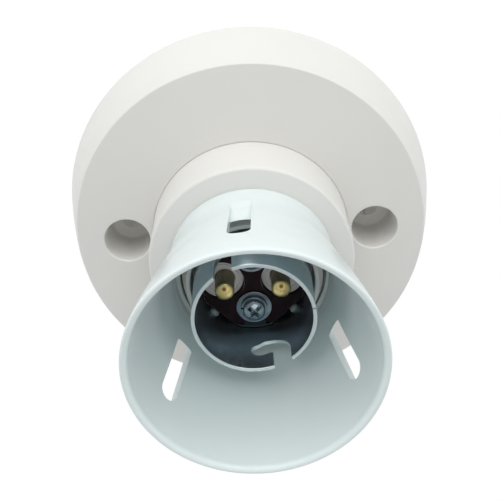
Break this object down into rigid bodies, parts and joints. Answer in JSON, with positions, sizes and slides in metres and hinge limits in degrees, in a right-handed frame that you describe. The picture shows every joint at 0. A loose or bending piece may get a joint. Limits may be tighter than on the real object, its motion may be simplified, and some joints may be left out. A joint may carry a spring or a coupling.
{
  "type": "batten lamp holder",
  "caption": "Round ceiling lamp holder for bayonet lamps: drafted base with fixing holes, flared screw-on skirt, slotted metal sleeve and sprung contact plungers.",
  "frame": {"origin": "centre of the flat back, where the holder meets the ceiling or batten", "axes": "+Z along the lamp's axis out of the mouth, +X through the two fixing holes"},
  "size_m": [0.0862, 0.0862, 0.0687],
  "materials": {
    "base_plastic": "warm white thermoset moulding, satin",
    "skirt_plastic": "cool white thermoplastic moulding, glossy",
    "carrier_plastic": "white moulding, matt",
    "plated_sheet": "zinc plated sheet steel, satin",
    "phenolic": "dark plum phenolic, satin",
    "brass": "turned brass, semi-bright",
    "plated_screw": "zinc plated steel, semi-bright",
    "spring_steel": "spring steel wire, bright"
  },
  "bodies": {
    "holder": {"base_moulding": "base_plastic", "bayonet_sleeve": "plated_sheet", "insulating_plate": "phenolic", "plunger_spring_left": "spring_steel", "plunger_spring_right": "spring_steel", "terminal_block": "carrier_plastic", "terminal_line": "brass", "terminal_neutral": "brass", "terminal_earth": "brass", "terminal_loop": "brass", "clamp_nut": "brass", "sleeve_screws": "plated_screw", "flat_washers": "plated_screw", "spring_washers": "plated_screw", "terminal_screws": "plated_screw", "block_screws": "plated_screw"},
    "skirt": {"skirt": "skirt_plastic"},
    "plunger_left": {"plunger_left": "brass"},
    "plunger_right": {"plunger_right": "brass"}
  },
  "joints": [
    {"name": "plunger_left_press", "type": "slide", "parent": "holder", "child": "plunger_left", "axis": [0, 0, -1], "range_m": [0, 0.0045], "stiffness_N_per_m": 700, "springref_m": -0.003, "deforming": ["plunger_spring_left"]},
    {"name": "plunger_right_press", "type": "slide", "parent": "holder", "child": "plunger_right", "axis": [0, 0, -1], "range_m": [0, 0.0045], "stiffness_N_per_m": 700, "springref_m": -0.003, "deforming": ["plunger_spring_right"]},
    {"name": "skirt_unscrew", "type": "slide", "parent": "holder", "child": "skirt", "axis": [0, 0, 1], "range_m": [0, 0.036]}
  ]
}
